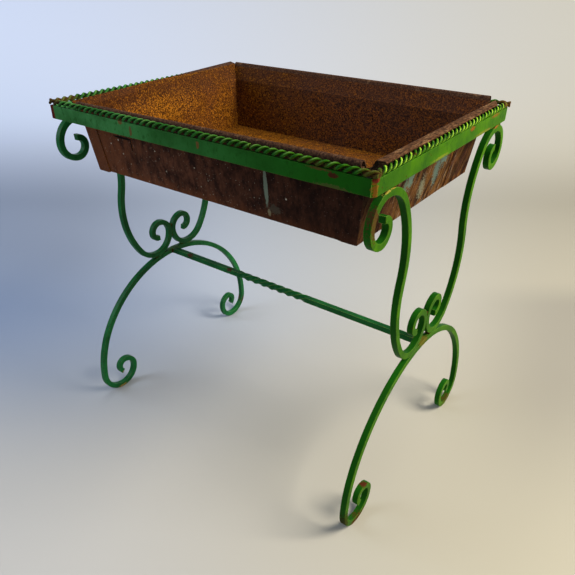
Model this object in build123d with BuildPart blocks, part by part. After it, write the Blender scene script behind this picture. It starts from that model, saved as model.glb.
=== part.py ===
from build123d import *
from math import asin, atan2, cos, degrees, hypot, radians, sin, sqrt
import os

# A wrought-iron plant stand with a lift-out sheet-steel pan.
# Millimetres, +Z up, origin on the floor under the middle of the stand, X along its length.

# Rim: four flat bands on edge, joined by corner welds
rim_length = 700
rim_width = 526
rim_top = 708
band_height = 25
band_thickness = 5
corner_cut = 6
ground_corner = 9
corner_round = 0.8

# Twisted square edging on top of the bands
rope_bar = 8
rope_pitch = 60
rope_overhang = 2
rope_past_rim = 3
rope_gap = 0.3
front_joint_x = 140
front_joint_gap = 4

# Square bar of the legs, arches and stretcher
bar = 12
bar_round = 0.9
bar_outset = 1
weld_gap = 0.1

# Every curl tightens a quarter turn at a time and ends in a tip with a turn of its own
quarter_turn = 90

# Arch foot: three shoulder arcs from the crown down, then the foot's curl
shoulder_radii = (268, 263, 234)
shoulder_turn = quarter_turn / len(shoulder_radii)
foot_radii = (49, 40, 27, 16)
foot_tip_radius = 19
foot_tip_turn = 50

# Scroll leg, from where it touches the rim
scroll_inset = 47
top_curl_radii = (44, 33, 22)
top_tip_radius = 17
top_tip_turn = 95
upper_turn = 56
sweep_radius = 188
sweep_turn = 48
lower_turn = 51
ankle_radius = 59
inner_curl_radii = (47, 31, 22)
inner_tip_radius = 16
inner_tip_turn = 100

# Stretcher between the crowns of the arches, twisted in its middle
twist_middle_x = -20
twist_pitch = 94
twist_turns = 2

# Pan: folded sheet, tapered, with a flared collar, rolled hems along its sides and flat ones at its ends
sheet = 1.5
pan_depth = 138
waist_height = 107
end_lean = 14
side_lean = 13
end_flare = 17
side_flare = 22
hem_radius = 6
hem_turn = 285
seat_gap = 0.3
seat_inset = 10
flange_width = 13
flange_inset = 3
fold_gap = 1
fold_back = 10
flange_half = 231
flange_mitre = 27
front_right_short = 10
back_right_short = 16
front_left_short = 38
pan_shift = 4
corner_gap = 0.3
floor_lap = 28
side_lap = 33
end_lap = 108
slit_from_end = 118
slit_width = 1.2
slit_length = 46

# The front left-hand corner of the pan has sunk inside the edging, and the back one is bent up
hem_sag = 7
low_seat_gap = 1.2
low_bend_inset = 3
low_bend_rise = 14
low_edge_outset = 4
low_edge_rise = 12
high_edge_rise = 3

# Welds
weld_reach = 16
stretcher_weld = 2.5
weld_inset = 1.5

# Worked out from the sizes above
rope_reach = rope_bar / sqrt(2)
rope_inset = rope_reach - rope_overhang
rope_z = rim_top + rope_reach
rope_y = rim_width / 2 - rope_inset
rope_x = rim_length / 2 - rope_inset
rim_under = rim_top - band_height
end_x = rim_length / 2 + bar_outset - bar / 2


def curl(radii, tip_radius, tip_turn):
    """The arcs of a curl, each a radius and a turn in degrees: a quarter turn for each radius, then its tip."""
    return (*((radius, quarter_turn) for radius in radii), (tip_radius, tip_turn))


def unit_arc(heading, turn):
    """Run and rise of an arc of radius 1 that starts at a heading and turns left by some degrees."""
    side = 1 if turn > 0 else -1
    first, last = radians(heading), radians(heading + turn)
    return side * (sin(last) - sin(first)), side * (cos(first) - cos(last))


def draw_arcs(start, heading, arcs, side=1):
    """Draw arcs end to end, each tangent to the one before; side 1 turns left, -1 right."""
    direction = (cos(radians(heading)), sin(radians(heading)))
    for radius, turn in arcs:
        arc = JernArc(start, direction, radius, side * turn)
        start, direction = arc @ 1, arc % 1


def arc_drop(arcs):
    """How far a run of right-hand arcs that starts level comes down."""
    heading, drop = 0, 0
    for radius, turn in arcs:
        drop -= radius * unit_arc(heading, -turn)[1]
        heading -= turn
    return drop


def round_bar(solid_bar):
    """Break the long edges of a bar made in the YZ plane."""
    fillet(solid_bar.faces().filter_by(Axis.X).edges(), radius=bar_round)


shoulder_arcs = tuple((radius, shoulder_turn) for radius in shoulder_radii)
foot_arcs = curl(foot_radii, foot_tip_radius, foot_tip_turn)
top_curl_arcs = curl(top_curl_radii, top_tip_radius, top_tip_turn)
inner_curl_arcs = curl(inner_curl_radii, inner_tip_radius, inner_tip_turn)

# Arch: it stands on its curls, so its radii give the height of its crown
crown_z = bar / 2 + arc_drop((*shoulder_arcs, foot_arcs[0]))
crown_radius = shoulder_radii[0]

# Scroll: its lower curl rests on the arch and against its twin at the middle
curl_radius = inner_curl_radii[0]
hub_y = curl_radius + (bar + weld_gap) / 2
hub_reach = crown_radius + curl_radius + bar + weld_gap
hub_z = crown_z - crown_radius + sqrt(hub_reach**2 - hub_y**2)
scroll_low_z = hub_z - curl_radius
scroll_top_y = rim_width / 2 - scroll_inset
scroll_top_z = rim_under - weld_gap - bar / 2

# The leg's first and third arcs close the run and the rise between those two places
ankle_turn = upper_turn + sweep_turn - lower_turn
heading_1 = 180 + upper_turn
heading_2 = heading_1 + sweep_turn
heading_3 = heading_2 - lower_turn
run_1, rise_1 = unit_arc(180, upper_turn)
run_2, rise_2 = unit_arc(heading_1, sweep_turn)
run_3, rise_3 = unit_arc(heading_2, -lower_turn)
run_4, rise_4 = unit_arc(heading_3, -ankle_turn)
open_run = hub_y - scroll_top_y - sweep_radius * run_2 - ankle_radius * run_4
open_rise = scroll_low_z - scroll_top_z - sweep_radius * rise_2 - ankle_radius * rise_4
solve = run_1 * rise_3 - run_3 * rise_1
upper_radius = (open_run * rise_3 - run_3 * open_rise) / solve
lower_radius = (run_1 * open_rise - open_run * rise_1) / solve

# Pan: its long hems lie in the shoulders of the twisted edging, and its end flanges lie on top of it
hem_y = rope_y - seat_inset
hem_z = rope_z + sqrt((rope_reach + hem_radius + seat_gap) ** 2 - seat_inset**2)
low_hem_z = hem_z - hem_sag
low_hem_y = rope_y - sqrt((rope_reach + hem_radius + low_seat_gap) ** 2 - (rope_z - low_hem_z) ** 2)
flange_z = rope_z + rope_reach + seat_gap + sheet + fold_gap
edge_x = rope_x - fold_gap / 2 - sheet - flange_inset
bend_x = edge_x - flange_width
floor_z = hem_z - pan_depth
waist_z = floor_z + waist_height
bend_radius = sheet + corner_gap


# ---------------------------------------------------------------- rim
def band(name, length, middle, across):
    """A flat band on edge, centred at middle, running along X or across it."""
    size = (band_thickness, length) if across else (length, band_thickness)
    with BuildPart() as made:
        with BuildSketch(Plane.XY.offset(rim_under)):
            with Locations(middle):
                Rectangle(*size)
        extrude(amount=band_height)
        fillet(made.edges().filter_by(Axis.Y if across else Axis.X), radius=corner_round)
    made.part.label = name
    return made


band_y = (rim_width - band_thickness) / 2
band_x = (rim_length - band_thickness) / 2
long_band = rim_length - 2 * corner_cut
short_band = rim_width - 2 * corner_cut

# At the front left the front band runs past the end of the left-hand one; the other corners are filled and cut off
rim_front = band("rim_front", long_band + corner_cut, (-corner_cut / 2, -band_y), False)
rim_back = band("rim_back", long_band, (0, band_y), False)
butted = corner_cut - band_thickness
rim_left = band("rim_left", short_band + butted, (-band_x, -butted / 2), True)

# The back lower corner of the right-hand end is ground away
with BuildPart() as ground_away:
    with BuildSketch(Plane.YZ.offset(rim_length / 2)):
        with Locations(Location((rim_width / 2, rim_under), 45)):
            Rectangle(ground_corner * sqrt(2), ground_corner * sqrt(2))
    extrude(amount=ground_corner * 2, both=True)

rim_right_uncut = band("rim_right", short_band, (band_x, 0), True)
with BuildPart() as rim_right:
    add(rim_right_uncut.part)
    add(ground_away.part, mode=Mode.SUBTRACT)
rim_right.part.label = "rim_right"

corner_outline = (
    (rim_length / 2 - corner_cut, rim_width / 2),
    (rim_length / 2, rim_width / 2 - corner_cut),
    (rim_length / 2 - band_thickness, rim_width / 2 - corner_cut),
    (rim_length / 2 - corner_cut, rim_width / 2 - band_thickness),
)
with BuildPart() as rim_corner_welds:
    with BuildSketch(Plane.XY.offset(rim_under)):
        for right, back in ((1, 1), (1, -1), (-1, 1)):
            with BuildLine():
                Polyline(*((right * x, back * y) for x, y in corner_outline), close=True)
            make_face()
    extrude(amount=band_height)
    add(ground_away.part, mode=Mode.SUBTRACT)
rim_corner_welds.part.label = "rim_corner_welds"


# ---------------------------------------------------------------- twisted edging
def rope(name, start, end):
    """A square bar twisted evenly from start to end."""
    run = Vector(*end) - Vector(*start)
    with BuildPart() as made:
        with BuildLine() as path:
            Line(start, end)
        with BuildLine() as guide:
            Helix(rope_pitch, run.length, rope_bar * 2, center=start, direction=run, lefthand=True)
        with BuildSketch(Plane(origin=start, z_dir=run)):
            Rectangle(rope_bar, rope_bar)
        sweep(path=path.wires()[0], binormal=guide.edges()[0])
    made.part.label = name
    return made


rope_end_x = rim_length / 2 + rope_past_rim
joint_left = front_joint_x - front_joint_gap / 2
joint_right = front_joint_x + front_joint_gap / 2
side_rope_y = rope_y - rope_reach - rope_gap
rope_front_left = rope("rope_front_left", (-rope_end_x, -rope_y, rope_z), (joint_left, -rope_y, rope_z))
rope_front_right = rope("rope_front_right", (joint_right, -rope_y, rope_z), (rope_end_x, -rope_y, rope_z))
rope_back = rope("rope_back", (-rope_end_x, rope_y, rope_z), (rope_end_x, rope_y, rope_z))
rope_left = rope("rope_left", (-rope_x, -side_rope_y, rope_z), (-rope_x, side_rope_y, rope_z))
rope_right = rope("rope_right", (rope_x, -side_rope_y, rope_z), (rope_x, side_rope_y, rope_z))


# ---------------------------------------------------------------- end frames
def bar_plane(x):
    """The plane in which an end frame's bar is drawn; the bar grows from it by its own width."""
    return Plane.YZ.offset(x - bar / 2)


def arch(name, x):
    """An arch foot: one bar over the crown, with a curl at each end to stand on."""
    with BuildPart() as made:
        with BuildSketch(bar_plane(x)):
            with BuildLine():
                draw_arcs((0, crown_z), 0, (*shoulder_arcs, *foot_arcs), side=-1)
                mirror(about=Plane.YZ)
            trace(line_width=bar)
        extrude(amount=bar)
        round_bar(made)
    made.part.label = name
    return made


def scroll(name, x, side):
    """A scroll leg: a curl under the rim, the leg, and a small curl over the arch."""
    leg_arcs = ((upper_radius, upper_turn), (sweep_radius, sweep_turn))
    low_arcs = ((lower_radius, lower_turn), (ankle_radius, ankle_turn), *inner_curl_arcs)
    top = (scroll_top_y, scroll_top_z)
    knee = (
        scroll_top_y + upper_radius * run_1 + sweep_radius * run_2,
        scroll_top_z + upper_radius * rise_1 + sweep_radius * rise_2,
    )
    with BuildPart() as made:
        with BuildSketch(bar_plane(x)):
            with BuildLine():
                draw_arcs(top, 0, top_curl_arcs, side=-1)
                draw_arcs(top, 180, leg_arcs)
                draw_arcs(knee, heading_2, low_arcs, side=-1)
            trace(line_width=bar)
        extrude(amount=bar)
        round_bar(made)
        if side < 0:
            mirror(about=Plane.XZ, mode=Mode.REPLACE)
    made.part.label = name
    return made


arch_left = arch("arch_left", -end_x)
arch_right = arch("arch_right", end_x)
scroll_front_left = scroll("scroll_front_left", -end_x, -1)
scroll_back_left = scroll("scroll_back_left", -end_x, 1)
scroll_front_right = scroll("scroll_front_right", end_x, -1)
scroll_back_right = scroll("scroll_back_right", end_x, 1)
scrolls = (scroll_front_left, scroll_back_left, scroll_front_right, scroll_back_right)
arches = (arch_left, arch_right)

# Fillet welds fill the wedges on both sides of a place where two bars touch
arch_outside = crown_radius + bar / 2
curl_outside = curl_radius + bar / 2
lean = atan2(hub_y, hub_z - crown_z + crown_radius)
touch_y = (arch_outside + weld_gap / 2) * sin(lean)
touch_z = crown_z - crown_radius + (arch_outside + weld_gap / 2) * cos(lean)


def wedge(below, above):
    """Draw one side of a weld between two round surfaces, along +X from where they touch.

    below and above are how far the surfaces fall away at the weld's mouth.
    """
    inner, outer = weld_reach / 2, weld_reach
    low, high = -weld_gap / 2, weld_gap / 2
    Polygon((inner, low), (outer, low - below), (outer, high + above), (inner, high), align=None)


def fall(radius):
    """How far a surface of a radius falls away from its tangent at a weld's mouth."""
    return weld_reach**2 / (2 * radius)


with BuildPart() as scroll_arch_welds:
    for x in (-end_x, end_x):
        with BuildSketch(bar_plane(x).offset(weld_inset)):
            with Locations(Location((touch_y, touch_z), -degrees(lean))):
                wedge(fall(arch_outside), fall(curl_outside))
            with Locations(Location((touch_y, touch_z), 180 - degrees(lean))):
                wedge(fall(curl_outside), fall(arch_outside))
            mirror(about=Plane.YZ)
        extrude(amount=bar - 2 * weld_inset)
scroll_arch_welds.part.label = "scroll_arch_welds"

with BuildPart() as curl_welds:
    for x in (-end_x, end_x):
        with BuildSketch(bar_plane(x).offset(weld_inset)):
            for heading in (90, -90):
                with Locations(Location((0, hub_z), heading)):
                    wedge(fall(curl_outside), fall(curl_outside))
        extrude(amount=bar - 2 * weld_inset)
curl_welds.part.label = "curl_welds"

with BuildPart() as scroll_rim_welds:
    for x in (-band_x, band_x):
        with BuildSketch(Plane.YZ.offset(x - band_thickness / 2)):
            with Locations((scroll_top_y, rim_under - weld_gap / 2)):
                wedge(fall(top_curl_radii[0] + bar / 2), 0)
            with Locations(Location((scroll_top_y, rim_under - weld_gap / 2), 180)):
                wedge(0, fall(upper_radius + bar / 2))
            mirror(about=Plane.YZ)
        extrude(amount=band_thickness)
scroll_rim_welds.part.label = "scroll_rim_welds"

# ---------------------------------------------------------------- stretcher
stretcher_end = end_x - bar / 2
twist_length = twist_pitch * twist_turns
twist_start = twist_middle_x - twist_length / 2
twist_end = twist_middle_x + twist_length / 2

with BuildPart() as stretcher:
    with BuildLine() as twist_path:
        Line((twist_start, 0, crown_z), (twist_end, 0, crown_z))
    with BuildLine() as twist_guide:
        twist_from = (twist_start, 0, crown_z)
        Helix(twist_pitch, twist_length, bar * 2, center=twist_from, direction=(1, 0, 0), lefthand=True)
    with BuildSketch(Plane((twist_start, 0, crown_z), x_dir=(0, 1, 0), z_dir=(1, 0, 0))):
        Rectangle(bar, bar)
    sweep(path=twist_path.wires()[0], binormal=twist_guide.edges()[0])
    for start, length in ((-stretcher_end, twist_start + stretcher_end), (twist_end, stretcher_end - twist_end)):
        with BuildSketch(Plane((start, 0, crown_z), x_dir=(0, 1, 0), z_dir=(1, 0, 0))):
            Rectangle(bar, bar)
        extrude(amount=length)
stretcher.part.label = "stretcher"

with BuildPart() as stretcher_welds:
    for x, inwards in ((-stretcher_end, 1), (stretcher_end, -1)):
        with BuildSketch(Plane((x, 0, crown_z), x_dir=(0, 1, 0), z_dir=(inwards, 0, 0))):
            Rectangle(bar + 2 * stretcher_weld, bar)
        extrude(amount=stretcher_weld, taper=45)
    add(stretcher.part, mode=Mode.SUBTRACT)
stretcher_welds.part.label = "stretcher_welds"


# ---------------------------------------------------------------- pan
lengthwise = Plane((pan_shift, 0, 0), x_dir=(1, 0, 0), z_dir=(0, -1, 0))

# Outer faces of its ends in section: floor corner, waist, bend and edge of the flange
ends = (
    (bend_x - end_flare - end_lean, floor_z - sheet),
    (bend_x - end_flare, waist_z),
    (bend_x, flange_z),
    (edge_x, flange_z),
)
low_bend = (ends[1][0] - low_bend_inset, waist_z + low_bend_rise)
low_end = (*ends[:2], low_bend, (low_bend[0] + low_edge_outset, low_bend[1] + low_edge_rise))
high_end = (*ends[:3], (edge_x, flange_z + high_edge_rise))

# Outer faces of its sides: floor corner, waist and mouth
side_wall = ((hem_y - side_flare - side_lean, floor_z), (hem_y - side_flare, waist_z))
sides = (*side_wall, (hem_y - hem_radius, hem_z))
low_side = (*side_wall, (low_hem_y - hem_radius, low_hem_z))


def grown(face, amount):
    """A face's section moved outwards by an amount."""
    return tuple((across + amount, up) for across, up in face)


def draw_side(face):
    """Draw a side in section: floor from the middle, wall, collar and rolled hem."""
    corner, waist, mouth = face
    roll = hem_radius - sheet
    across, up = mouth[0] + hem_radius - waist[0], mouth[1] - waist[1]
    heading = atan2(up, across) + asin(roll / hypot(across, up))
    collar = sqrt(across**2 + up**2 - roll**2)
    lip = (waist[0] + collar * cos(heading), waist[1] + collar * sin(heading))
    FilletPolyline((0, corner[1]), corner, waist, lip, radius=bend_radius)
    JernArc(lip, (cos(heading), sin(heading)), roll, -hem_turn)
    offset(amount=sheet, side=Side.LEFT)


def draw_end(face):
    """Draw an end in section: a lap of floor, wall, collar and a flange folded back under itself."""
    corner, waist, bend, edge = face
    width = hypot(edge[0] - bend[0], edge[1] - bend[1])
    out = ((edge[0] - bend[0]) / width, (edge[1] - bend[1]) / width)
    FilletPolyline((corner[0] - floor_lap, corner[1]), corner, waist, bend, edge, radius=bend_radius)
    fold = JernArc(edge, out, fold_gap / 2, -180) @ 1
    Line(fold, (fold.X - fold_back * out[0], fold.Y - fold_back * out[1]))
    offset(amount=sheet, side=Side.LEFT)


def draw_outside(face):
    """Draw the outline of everything outside an end's face, from below the floor to above the hems."""
    low, high = floor_z - 2 * sheet, hem_z + 2 * hem_radius
    wall = face[:3]
    Polyline((wall[0][0], low), *wall, (wall[-1][0], high), (rim_length, high), (rim_length, low), close=True)


def along_end(draw, front_face, back_face):
    """What draw makes of the front and the back section of an end at +X, ruled between them."""
    half = lap_over_sides[-1][0]
    with BuildPart() as made:
        for y, face in ((-half, front_face), (half, back_face)):
            with BuildSketch(lengthwise.offset(-y)):
                with BuildLine():
                    draw(face)
                make_face()
        loft(ruled=True)
    return made.part


def side_sheet(left_face, right_face):
    """The sheet of one side of the pan, made at +Y and ruled between its two ends."""
    with BuildPart() as made:
        for x, face in ((-rim_length / 2, left_face), (rim_length / 2, right_face)):
            with BuildSketch(Plane.YZ.offset(x)):
                with BuildLine():
                    draw_side(face)
                make_face()
        loft(ruled=True)
    return made.part


def between(plane, face):
    """Everything between a face and its mirror image, from below the floor to above the hems."""
    side = ((face[0][0], floor_z - 2 * sheet), *face, (face[-1][0], hem_z + 2 * hem_radius))
    with BuildPart() as made:
        with BuildSketch(plane):
            with BuildLine():
                Polyline(*side, *((-across, up) for across, up in reversed(side)), close=True)
            make_face()
        extrude(amount=rim_length, both=True)
    return made.part


def strip(plane, face, width):
    """A strip of a width just inside a face, from its floor corner to its waist."""
    corner, waist = face[:2]
    with BuildPart() as made:
        with BuildSketch(plane):
            with BuildLine():
                Polyline(corner, waist, (waist[0] - width, waist[1]), (corner[0] - width, corner[1]), close=True)
            make_face()
        extrude(amount=rim_length, both=True)
    return made.part


inside_ends = grown(ends, -sheet - corner_gap)
inside_sides = grown(sides, -sheet - corner_gap)
lap_over_ends = grown(ends, sheet)
lap_over_sides = grown(sides, sheet)

# Everything past the inner face of the left-hand end
with BuildPart() as left_outside:
    add(along_end(draw_outside, grown(low_end, -sheet - corner_gap), inside_ends))
    mirror(about=Plane.YZ.offset(pan_shift), mode=Mode.REPLACE)

# The long walls fold round the right-hand corners and lap over that end
with BuildPart() as corner_columns:
    add(strip(Plane.YZ, sides, sheet))
    add(strip(lengthwise, lap_over_ends, side_lap), mode=Mode.INTERSECT)

with BuildPart() as end_laps:
    add(strip(lengthwise, lap_over_ends, sheet))
    add(strip(Plane.YZ, sides, end_lap), mode=Mode.INTERSECT)
    add(corner_columns.part)
    mirror(about=Plane.XZ)

with BuildPart() as slit:
    with BuildSketch(lengthwise):
        with Locations((slit_from_end - ends[0][0], waist_z)):
            Rectangle(slit_width, slit_length, align=(Align.CENTER, Align.MAX))
    extrude(amount=rim_width / 2)

# Three ends of the long hems stop short of the pan's ends
hem_ends = (
    (-1, pan_shift + bend_x - front_right_short, Align.MIN, hem_z),
    (1, pan_shift + bend_x - back_right_short, Align.MIN, hem_z),
    (-1, pan_shift - bend_x + front_left_short, Align.MAX, low_hem_z),
)
with BuildPart() as hem_cuts:
    for side, x, outwards, z in hem_ends:
        with BuildSketch(Plane.XY.offset(z - hem_radius)):
            with Locations((x, side * hem_y)):
                Rectangle(rim_length, seat_inset * 4, align=(outwards, Align.CENTER))
        extrude(amount=hem_radius * 4)

with BuildPart() as pan_trough:
    add(side_sheet(low_side, sides))
    mirror(about=Plane.XZ, mode=Mode.REPLACE)
    add(side_sheet(sides, sides))
    add(between(lengthwise, inside_ends[:3]), mode=Mode.INTERSECT)
    add(left_outside.part, mode=Mode.SUBTRACT)
    add(hem_cuts.part, mode=Mode.SUBTRACT)
    add(end_laps.part)
    add(slit.part, mode=Mode.SUBTRACT)
pan_trough.part.label = "pan_trough"

# The right-hand flange stops short of the corners, with its back one mitred
flange_in = pan_shift + bend_x
flange_out = flange_in + 2 * flange_width
with BuildPart() as flange_cuts:
    with BuildSketch(Plane.XY.offset(hem_z - hem_radius)):
        Rectangle(flange_out * 2, rim_width)
        with BuildLine():
            Polyline(
                (0, -flange_half),
                (flange_out, -flange_half),
                (flange_out, flange_half - 2 * flange_mitre),
                (flange_in, flange_half),
                (0, flange_half),
                close=True,
            )
        make_face(mode=Mode.SUBTRACT)
    extrude(amount=hem_radius * 4)

with BuildPart() as pan_end_right:
    add(along_end(draw_end, ends, ends))
    add(between(Plane.YZ, (*inside_sides[:2], *sides[1:])), mode=Mode.INTERSECT)
    add(flange_cuts.part, mode=Mode.SUBTRACT)
pan_end_right.part.label = "pan_end_right"

# The left-hand end folds round its corners and laps over the long walls
with BuildPart() as side_laps:
    add(strip(Plane.YZ, lap_over_sides, sheet))
    add(strip(lengthwise, ends, side_lap), mode=Mode.INTERSECT)
    mirror(about=Plane.XZ)

with BuildPart() as pan_end_left:
    add(along_end(draw_end, low_end, high_end))
    add(between(Plane.YZ, lap_over_sides), mode=Mode.INTERSECT)
    add(side_laps.part)
    mirror(about=Plane.YZ.offset(pan_shift), mode=Mode.REPLACE)
pan_end_left.part.label = "pan_end_left"

made = [rim_front, rim_back, rim_left, rim_right, rim_corner_welds]
made += [rope_front_left, rope_front_right, rope_back, rope_left, rope_right]
made += [*arches, *scrolls, scroll_arch_welds, curl_welds, scroll_rim_welds]
made += [stretcher, stretcher_welds, pan_trough, pan_end_left, pan_end_right]

os.makedirs("parts", exist_ok=True)
for piece in made:
    export_step(piece.part, f"parts/{piece.part.label}.step")
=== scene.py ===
"""An old green iron plant stand with a rusty lift-out pan, dressed over its CAD frame."""

import logging
import math
from dataclasses import dataclass, replace
from enum import Enum
from functools import cached_property
from typing import NamedTuple

import bmesh
import bpy
from mathutils import Matrix, Vector


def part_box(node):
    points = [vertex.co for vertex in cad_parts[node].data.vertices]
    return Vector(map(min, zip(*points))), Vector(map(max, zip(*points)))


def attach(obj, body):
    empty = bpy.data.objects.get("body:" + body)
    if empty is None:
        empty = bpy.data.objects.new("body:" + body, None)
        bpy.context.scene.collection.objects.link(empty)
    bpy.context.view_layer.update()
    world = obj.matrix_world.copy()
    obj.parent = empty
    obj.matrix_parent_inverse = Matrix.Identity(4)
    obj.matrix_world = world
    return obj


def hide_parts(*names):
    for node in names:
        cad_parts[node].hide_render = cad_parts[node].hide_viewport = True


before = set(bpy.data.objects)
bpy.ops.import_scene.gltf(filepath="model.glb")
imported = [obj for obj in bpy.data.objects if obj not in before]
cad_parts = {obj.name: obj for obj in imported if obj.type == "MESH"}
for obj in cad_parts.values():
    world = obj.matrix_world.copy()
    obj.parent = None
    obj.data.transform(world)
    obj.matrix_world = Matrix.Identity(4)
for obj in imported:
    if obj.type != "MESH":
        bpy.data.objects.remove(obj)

log = logging.getLogger("planter")
Colour = tuple[float, float, float]
Point = tuple[float, float, float]
Socket = bpy.types.NodeSocket
Value = Socket | float
Tone = Socket | Colour

BLACK: Colour = (0.0, 0.0, 0.0)


def srgb(red: int, green: int, blue: int) -> Colour:
    """A linear colour from one written as 0 to 255.

    Args:
        red: The red part.
        green: The green part.
        blue: The blue part.

    Returns:
        The three linear parts.
    """
    parts = (value / 255 for value in (red, green, blue))
    return tuple(v / 12.92 if v <= 0.04045 else ((v + 0.055) / 1.055) ** 2.4 for v in parts)


class Run(Enum):
    """The way that a length of edging runs."""

    LENGTHWISE = (1.0, 0.0, 0.0)
    CROSSWISE = (0.0, 1.0, 0.0)


class Axes(NamedTuple):
    """The three parts of a point or of a direction."""

    x: Socket
    y: Socket
    z: Socket


class Board:
    """A node tree that is wired by short calls."""

    def __init__(self, tree: bpy.types.NodeTree) -> None:
        """Take an empty tree to wire, of a material or a group."""
        self.tree = tree

    def put(self, kind: str, inputs: dict | None = None, **settings: object) -> bpy.types.Node:
        """Add a node.

        Args:
            kind: The node's type.
            inputs: Values or sockets by input name or number.
            **settings: Properties of the node.

        Returns:
            The new node.
        """
        node = self.tree.nodes.new(kind)
        for name, value in settings.items():
            setattr(node, name, value)
        for name, value in (inputs or {}).items():
            self.feed(node.inputs[name], value)
        return node

    def feed(self, socket: Socket, value: Value | Tone) -> None:
        """Link a socket to another, or set its value.

        Args:
            socket: The input.
            value: An output socket, a number, a vector or a colour.
        """
        if isinstance(value, Socket):
            self.tree.links.new(value, socket)
        elif isinstance(value, tuple) and socket.type == "RGBA":
            socket.default_value = (*value, 1.0)
        else:
            socket.default_value = value

    def calc(self, operation: str, *values: Value, clamp: bool = False) -> Socket:
        """The result of a Math node, kept between 0 and 1 where clamp is set."""
        node = self.put("ShaderNodeMath", dict(enumerate(values)), operation=operation, use_clamp=clamp)
        return node.outputs[0]

    def times(self, first: Value, second: Value) -> Socket:
        """Two values multiplied."""
        return self.calc("MULTIPLY", first, second)

    def plus(self, base: Value, value: Value, share: Value, clamp: bool = False) -> Socket:
        """A base plus a share of a value."""
        return self.calc("MULTIPLY_ADD", value, share, base, clamp=clamp)

    def less(self, first: Value, second: Value) -> Socket:
        """The first value less the second."""
        return self.calc("SUBTRACT", first, second)

    def most(self, first: Value, second: Value) -> Socket:
        """The larger of two values."""
        return self.calc("MAXIMUM", first, second)

    def unsigned(self, value: Value) -> Socket:
        """A value without its sign."""
        return self.calc("ABSOLUTE", value)

    def step(self, value: Value, low: Value, high: Value) -> Socket:
        """A smooth step from 0 at low to 1 at high, where low may be the larger one.

        Args:
            value: What is measured.
            low: Where the step starts.
            high: Where it ends.

        Returns:
            The step.
        """
        inputs = {"Value": value, "From Min": low, "From Max": high}
        node = self.put("ShaderNodeMapRange", inputs, interpolation_type="SMOOTHSTEP")
        return node.outputs[0]

    def mix(self, amount: Value, first: Tone, second: Tone) -> Socket:
        """Mix two colours.

        Args:
            amount: 0 for the first, 1 for the second.
            first: A colour or socket.
            second: A colour or socket.

        Returns:
            The mixed colour.
        """
        node = self.put("ShaderNodeMix", data_type="RGBA", clamp_factor=True)
        for socket, value in zip((node.inputs[0], node.inputs[6], node.inputs[7]), (amount, first, second)):
            self.feed(socket, value)
        return node.outputs[2]

    def lay(self, colour: Tone, over: Tone, mask: Value, strength: Value) -> Socket:
        """A colour with another laid over it, where a mask times a strength says."""
        return self.mix(self.times(mask, strength), colour, over)

    def place(self) -> Socket:
        """The point on the piece, in metres in the stand's own frame."""
        return self.put("ShaderNodeTexCoord").outputs["Object"]

    def split(self, vector: Socket) -> Axes:
        """The X, Y and Z of a vector."""
        return Axes(*self.put("ShaderNodeSeparateXYZ", {0: vector}).outputs)

    def vector(self, operation: str, *values: Value | Point, output: str = "Vector") -> Socket:
        """The result of a Vector Math node; a length or a dot product is its output Value."""
        return self.put("ShaderNodeVectorMath", dict(enumerate(values)), operation=operation).outputs[output]

    def stretch(self, point: Socket, factors: Point) -> Socket:
        """A point with each coordinate multiplied by a factor."""
        return self.vector("MULTIPLY", point, factors)

    def dot(self, point: Socket, direction: Socket | Point) -> Socket:
        """How far a point reaches along a direction."""
        return self.vector("DOT_PRODUCT", point, direction, output="Value")

    def noise(self, point: Socket, scale: Value, detail: float = 3.0, rough: float = 0.55) -> Socket:
        """Cloudy noise around 0.5, of a scale, with a number of finer layers and their strength."""
        inputs = {"Vector": point, "Scale": scale, "Detail": detail, "Roughness": rough}
        return self.put("ShaderNodeTexNoise", inputs).outputs[0]

    def cells(self, scale: Value) -> tuple[Socket, Socket, Socket]:
        """Scattered cells.

        Args:
            scale: How fine they are.

        Returns:
            Two chance values of each cell, and the distance from its middle.
        """
        node = self.put("ShaderNodeTexVoronoi", {"Vector": self.place(), "Scale": scale})
        chance = self.put("ShaderNodeSeparateColor", {0: node.outputs["Color"]}).outputs
        return chance[0], chance[1], node.outputs["Distance"]

    def group(self, tree: bpy.types.NodeTree, **inputs: Value | Point) -> Socket:
        """Place a node group.

        Args:
            tree: The group.
            **inputs: Values by input name.

        Returns:
            The group's result.
        """
        node = self.put("ShaderNodeGroup")
        node.node_tree = tree
        for name, value in inputs.items():
            self.feed(node.inputs[name], value)
        return node.outputs[0]


def new_group(name: str, result: str, **inputs: float | Point) -> tuple[Board, dict[str, Socket], Socket]:
    """Start a node group.

    Args:
        name: The group's name.
        result: The name of what it puts out.
        **inputs: Defaults by input name.

    Returns:
        Its board, its input sockets by name, and the socket that takes its result.
    """
    tree = bpy.data.node_groups.new(name, "ShaderNodeTree")
    for label, default in inputs.items():
        kind = "Vector" if isinstance(default, tuple) else "Float"
        socket = tree.interface.new_socket(label, in_out="INPUT", socket_type=f"NodeSocket{kind}")
        socket.default_value = default
    tree.interface.new_socket(result, in_out="OUTPUT", socket_type="NodeSocketFloat")
    board = Board(tree)
    entry = board.put("NodeGroupInput")
    given = {label: entry.outputs[label] for label in inputs}
    return board, given, board.put("NodeGroupOutput").inputs[result]


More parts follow.
